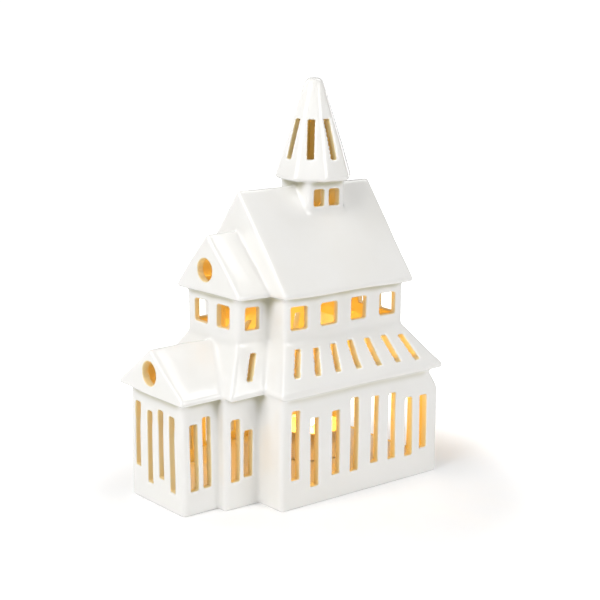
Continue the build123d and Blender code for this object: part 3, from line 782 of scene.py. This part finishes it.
# Painted glow: the wax emits light itself, yellow at the wick and amber further out.
painted_glow = add("ShaderNodeMix")
painted_glow.data_type = "RGBA"
painted_glow.inputs["A"].default_value = painted_glow_near
painted_glow.inputs["B"].default_value = painted_glow_far
link(ranged(add, link, from_wick.outputs["Value"], painted_glow_reach), painted_glow.inputs["Factor"])
link(painted_glow.outputs["Result"], surface.inputs["Emission Color"])
surface.inputs["Emission Strength"].default_value = painted_glow_strength
surface.inputs["Subsurface Weight"].default_value = wax_clearness
surface.inputs["Subsurface Radius"].default_value = wax_depths
surface.inputs["Subsurface Scale"].default_value = 1.0

wax_profile = [(reach, wax_low.z + rise) for reach, rise in wax_side]
wax_profile += [(reach, wax_high.z - drop) for reach, drop in wax_pool]
tealight_wax = turned("tealight_wax_pool", wax_profile, candle_wax)
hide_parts("tealight_wax")
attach(tealight_wax, "tealight")


# ---- The wick sustainer --------------------------------------------------------------------------
# A small pressed steel disc with a neck that holds the wick upright.
# It stands in the foot of the cup, sunk in the wax.
steel_bright = (0.62, 0.60, 0.57, 1)
steel_dull = (0.45, 0.43, 0.41, 1)
pressed_scale, pressed_detail = 600, 3.0
pressed_roughness = (0.3, 0.5)

sustainer_metal, surface, add, link = new_material("sustainer_metal")
pressed = clouded(add, steel_bright, steel_dull, pressed_scale, pressed_detail)
link(pressed.outputs["Tone"], surface.inputs["Base Color"])
pressed_dull = ranged(add, link, pressed.outputs["Cloud"], (0, 1), pressed_roughness)
link(pressed_dull, surface.inputs["Roughness"])
surface.inputs["Metallic"].default_value = 1.0
nodes["tealight_sustainer"].material_slots[0].material = sustainer_metal


# ---- The wick ------------------------------------------------------------------------------------
# Plaited cotton soaked in wax: three strands twisted round each other, charred black where they
# burn. It stands in the sustainer's neck.
wick_low, wick_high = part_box("tealight_wick")
strand_count = 3
strand_radius = 0.00036
strand_sides = 8
strand_reach = 0.0004
strand_turns = 7.0
strand_turn_steps = 16
cotton_pale = (0.80, 0.74, 0.58, 1)
cotton_deep = (0.62, 0.55, 0.40, 1)
cotton_scale, cotton_detail = 1800, 3.0
cotton_roughness = (0.7, 0.9)
char_black = (0.02, 0.016, 0.013, 1)
char_start, char_full = 0.0055, 0.003

wick_cotton, surface, add, link = new_material("wick_cotton")
fibre = clouded(add, cotton_pale, cotton_deep, cotton_scale, cotton_detail)
height = add("ShaderNodeSeparateXYZ")
link(add("ShaderNodeTexCoord").outputs["Object"], height.inputs["Vector"])
char_range = (wick_high.z - char_start, wick_high.z - char_full)
burnt = ranged(add, link, height.outputs["Z"], char_range)
charred = tinted(add, link, fibre.outputs["Tone"], char_black, burnt)
link(charred, surface.inputs["Base Color"])
fibre_dull = ranged(add, link, fibre.outputs["Cloud"], (0, 1), cotton_roughness)
link(fibre_dull, surface.inputs["Roughness"])

twist = bpy.data.node_groups.new("twisted_strands", "GeometryNodeTree")
for label, kind in (
        ("Strands", "NodeSocketInt"), ("Strand Radius", "NodeSocketFloat"),
        ("Reach", "NodeSocketFloat"), ("Turns", "NodeSocketFloat"),
        ("Height", "NodeSocketFloat"), ("Foot", "NodeSocketVector"),
        ("Cotton", "NodeSocketMaterial")):
    twist.interface.new_socket(label, in_out="INPUT", socket_type=kind)
twist.interface.new_socket("Wick", in_out="OUTPUT", socket_type="NodeSocketGeometry")
given = twist.nodes.new("NodeGroupInput")
gives = twist.nodes.new("NodeGroupOutput")
spiral = twist.nodes.new("GeometryNodeCurveSpiral")
spiral.inputs["Resolution"].default_value = strand_turn_steps
section = twist.nodes.new("GeometryNodeCurvePrimitiveCircle")
section.inputs["Resolution"].default_value = strand_sides
strand = twist.nodes.new("GeometryNodeCurveToMesh")
strand.inputs["Fill Caps"].default_value = True
starts = twist.nodes.new("GeometryNodePoints")
number = twist.nodes.new("GeometryNodeInputIndex")
turn_share = twist.nodes.new("ShaderNodeMath")
turn_share.operation = "DIVIDE"
turning = twist.nodes.new("ShaderNodeMath")
turning.operation = "MULTIPLY"
turning.inputs[1].default_value = 2 * math.pi
heading = twist.nodes.new("ShaderNodeCombineXYZ")
copies = twist.nodes.new("GeometryNodeInstanceOnPoints")
stand = twist.nodes.new("GeometryNodeTransform")
real = twist.nodes.new("GeometryNodeRealizeInstances")
shade = twist.nodes.new("GeometryNodeSetShadeSmooth")
cotton = twist.nodes.new("GeometryNodeSetMaterial")
join = twist.links.new
join(given.outputs["Turns"], spiral.inputs["Rotations"])
join(given.outputs["Reach"], spiral.inputs["Start Radius"])
join(given.outputs["Reach"], spiral.inputs["End Radius"])
join(given.outputs["Height"], spiral.inputs["Height"])
join(given.outputs["Strand Radius"], section.inputs["Radius"])
join(spiral.outputs["Curve"], strand.inputs["Curve"])
join(section.outputs["Curve"], strand.inputs["Profile Curve"])
join(given.outputs["Strands"], starts.inputs["Count"])
join(number.outputs["Index"], turn_share.inputs[0])
join(given.outputs["Strands"], turn_share.inputs[1])
join(turn_share.outputs[0], turning.inputs[0])
join(turning.outputs[0], heading.inputs["Z"])
join(starts.outputs["Points"], copies.inputs["Points"])
join(strand.outputs["Mesh"], copies.inputs["Instance"])
join(heading.outputs["Vector"], copies.inputs["Rotation"])
join(copies.outputs["Instances"], stand.inputs["Geometry"])
join(given.outputs["Foot"], stand.inputs["Translation"])
join(stand.outputs["Geometry"], real.inputs["Geometry"])
join(real.outputs["Geometry"], shade.inputs["Geometry"])
join(shade.outputs["Geometry"], cotton.inputs["Geometry"])
join(given.outputs["Cotton"], cotton.inputs["Material"])
join(cotton.outputs["Geometry"], gives.inputs["Wick"])

tealight_wick = bpy.data.objects.new("tealight_wick_twisted", bpy.data.meshes.new("wick_start"))
bpy.context.scene.collection.objects.link(tealight_wick)
strands = tealight_wick.modifiers.new("strands", "NODES")
strands.node_group = twist
sizes = {
    "Strands": strand_count, "Strand Radius": strand_radius, "Reach": strand_reach,
    "Turns": strand_turns, "Height": wick_high.z - wick_low.z - 2 * strand_radius,
    "Foot": (0, axis_y, wick_low.z + strand_radius), "Cotton": wick_cotton,
}
for item in twist.interface.items_tree:
    if item.in_out == "INPUT":
        strands[item.identifier] = sizes[item.name]
tealight_wick.update_tag()
scene_state = bpy.context.evaluated_depsgraph_get()
twisted = bpy.data.meshes.new_from_object(tealight_wick.evaluated_get(scene_state))
tealight_wick.modifiers.remove(strands)
tealight_wick.data = twisted
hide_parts("tealight_wick")
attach(tealight_wick, "tealight")


# ---- The flame -----------------------------------------------------------------------------------
# A small steady candle flame round the tip of the wick, blue at its root, white in its body and
# amber at its point. Its light comes from a lamp in its middle that goes with it.
flame_foot = wax_high.z
flame_rise = 0.0095
flame_tip = wick_high.z + flame_rise
flame_width = 0.0042
flame_steps = 24
belly_low, belly_full, point_taper = 0.62, 0.9, 0.35
flame_root = (0.25, 0.35, 0.9, 1)
flame_point = (1.0, 0.5, 0.08, 1)
flame_body = (
    (0.18, (1.0, 0.80, 0.45, 1)), (0.4, (1.0, 0.94, 0.75, 1)), (0.75, (1.0, 0.82, 0.4, 1)),
)
flame_strength = 6.0
lamp_colour = (1.0, 0.60, 0.08)
lamp_radius = 0.003
lamp_power = 0.075
shaft_power = 0.0006
shaft_rise = 0.115

flame_light, surface, add, link = new_material("flame_light")
height = add("ShaderNodeSeparateXYZ")
link(add("ShaderNodeTexCoord").outputs["Object"], height.inputs["Vector"])
burning = add("ShaderNodeValToRGB")
burning.color_ramp.elements[0].color = flame_root
burning.color_ramp.elements[1].color = flame_point
for position, colour in flame_body:
    burning.color_ramp.elements.new(position).color = colour
along = add("ShaderNodeMapRange")
along.inputs["From Min"].default_value = flame_foot
along.inputs["From Max"].default_value = flame_tip
link(height.outputs["Z"], along.inputs["Value"])
link(along.outputs["Result"], burning.inputs["Fac"])
link(burning.outputs["Color"], surface.inputs["Emission Color"])
surface.inputs["Emission Strength"].default_value = flame_strength
surface.inputs["Base Color"].default_value = (0.0, 0.0, 0.0, 1)
surface.inputs["Specular IOR Level"].default_value = 0.0

flame_profile = [(0, flame_foot)]
for step in range(1, flame_steps):
    share = step / flame_steps
    swell = math.sin(math.pi * share ** belly_low) ** belly_full * (1 - point_taper * share)
    flame_profile.append((flame_width * swell, flame_foot + (flame_tip - flame_foot) * share))
flame_profile.append((0, flame_tip))
flame = turned("tealight_flame", flame_profile, flame_light)
flame.visible_shadow = False
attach(flame, "tealight")

# The flame's light, and the glow that gathers in the shaft over it.
for name, power, lift in (("flame_lamp", lamp_power, 0), ("shaft_lamp", shaft_power, shaft_rise)):
    lamp = bpy.data.lights.new(name, "POINT")
    lamp.color = lamp_colour
    lamp.energy = power
    lamp.shadow_soft_size = lamp_radius
    lamp_object = bpy.data.objects.new(name, lamp)
    lamp_object.location = (0, axis_y, (flame_foot + flame_tip) / 2 + lift)
    lamp_object.visible_camera = False
    lamp_object.parent = flame
    bpy.context.scene.collection.objects.link(lamp_object)


# ---- The studio ----------------------------------------------------------------------------------
# A wide pale table under a dim sky, with broad soft lamps above the porch, before it, on both sides
# and behind, two of them low. The far part of the table is lit by itself, so that it runs into the
# white of the sky.
table_reach = 6.0
table_pale = (0.93, 0.93, 0.93, 1)
table_shade = (0.92, 0.92, 0.92, 1)
table_scale, table_detail = 3.0, 2.0
table_roughness = 0.6
table_shine = 0.2
table_glow = 0.082
shadow_shift = 0.03
shadow_reach = (0.095, 0.21)
sky_light, sky_white = 0.145, 1.05
house_middle = Vector((0, 0, 0.1))

table_paint, surface, add, link = new_material("table_paint")
painted = clouded(add, table_pale, table_shade, table_scale, table_detail)
link(painted.outputs["Tone"], surface.inputs["Base Color"])
surface.inputs["Roughness"].default_value = table_roughness
surface.inputs["Specular IOR Level"].default_value = table_shine
away = add("ShaderNodeVectorMath")
away.operation = "LENGTH"
centred = add("ShaderNodeMapping")
centred.inputs["Location"].default_value = (-shadow_shift, 0, 0)
link(add("ShaderNodeTexCoord").outputs["Object"], centred.inputs["Vector"])
link(centred.outputs["Vector"], away.inputs[0])
backdrop = add("ShaderNodeMath")
backdrop.operation = "MULTIPLY_ADD"
link(ranged(add, link, away.outputs["Value"], shadow_reach), backdrop.inputs[0])
link(add("ShaderNodeLightPath").outputs["Is Camera Ray"], backdrop.inputs[1])
backdrop.inputs[2].default_value = table_glow
link(backdrop.outputs[0], surface.inputs["Emission Strength"])
surface.inputs["Emission Color"].default_value = (1, 1, 1, 1)
table_corners = [(x * table_reach, y * table_reach, 0)
                 for x, y in ((-1, -1), (1, -1), (1, 1), (-1, 1))]
table_mesh = bpy.data.meshes.new("table")
table_mesh.from_pydata(table_corners, [], [(0, 1, 2, 3)])
table_mesh.materials.append(table_paint)
table = bpy.data.objects.new("table", table_mesh)
bpy.context.scene.collection.objects.link(table)

sky = bpy.data.worlds.new("studio_sky")
sky.use_nodes = True
bpy.context.scene.world = sky
background = sky.node_tree.nodes["Background"]
seen = sky.node_tree.nodes.new("ShaderNodeLightPath")
strength = sky.node_tree.nodes.new("ShaderNodeMapRange")
strength.inputs["To Min"].default_value = sky_light
strength.inputs["To Max"].default_value = sky_white
sky.node_tree.links.new(seen.outputs["Is Camera Ray"], strength.inputs["Value"])
sky.node_tree.links.new(strength.outputs["Result"], background.inputs["Strength"])
background.inputs["Color"].default_value = (1, 1, 1, 1)


def soft_lamp(name, place, width, power):
    """A broad square lamp that looks at the middle of the house."""
    light = bpy.data.lights.new(name, "AREA")
    light.size = width
    light.energy = power
    lamp = bpy.data.objects.new(name, light)
    lamp.location = place
    lamp.rotation_euler = (Vector(place) - house_middle).to_track_quat("Z", "Y").to_euler()
    lamp.visible_camera = False
    bpy.context.scene.collection.objects.link(lamp)


soft_lamp("porch_lamp", place=(0.05, -0.22, 0.45), width=0.25, power=0.32)
soft_lamp("front_lamp", place=(0.10, -0.60, 0.52), width=0.5, power=3.25)
soft_lamp("left_lamp", place=(-0.50, -0.20, 0.60), width=0.4, power=1.3)
soft_lamp("right_lamp", place=(0.60, 0.20, 0.40), width=0.4, power=1.85)
soft_lamp("back_lamp", place=(0.10, 1.10, 1.50), width=0.7, power=5.5)
soft_lamp("low_back_lamp", place=(-0.35, 0.85, 0.15), width=0.4, power=1.2)
soft_lamp("low_left_lamp", place=(-0.90, 0.05, 0.20), width=0.4, power=1.4)
bpy.context.scene.view_settings.view_transform = "Standard"


# ---- The camera ----------------------------------------------------------------------------------
# It stands to the right of the front, a little above the eaves, as the photograph was taken.
# Its place, turn and lens were solved from the house's own corners.
camera_place = (0.55863, -0.43959, 0.24789)
camera_turn = (78.0185, -0.4353, 50.7474)
focal_length = 82.868
sensor_width = 36
nearest_seen = 0.05

lens = bpy.data.cameras.new("photo_camera")
lens.sensor_width = sensor_width
lens.lens = focal_length
lens.clip_start = nearest_seen
camera = bpy.data.objects.new("photo_camera", lens)
camera.location = camera_place
camera.rotation_euler = [math.radians(turn) for turn in camera_turn]
bpy.context.scene.collection.objects.link(camera)
bpy.context.scene.camera = camera
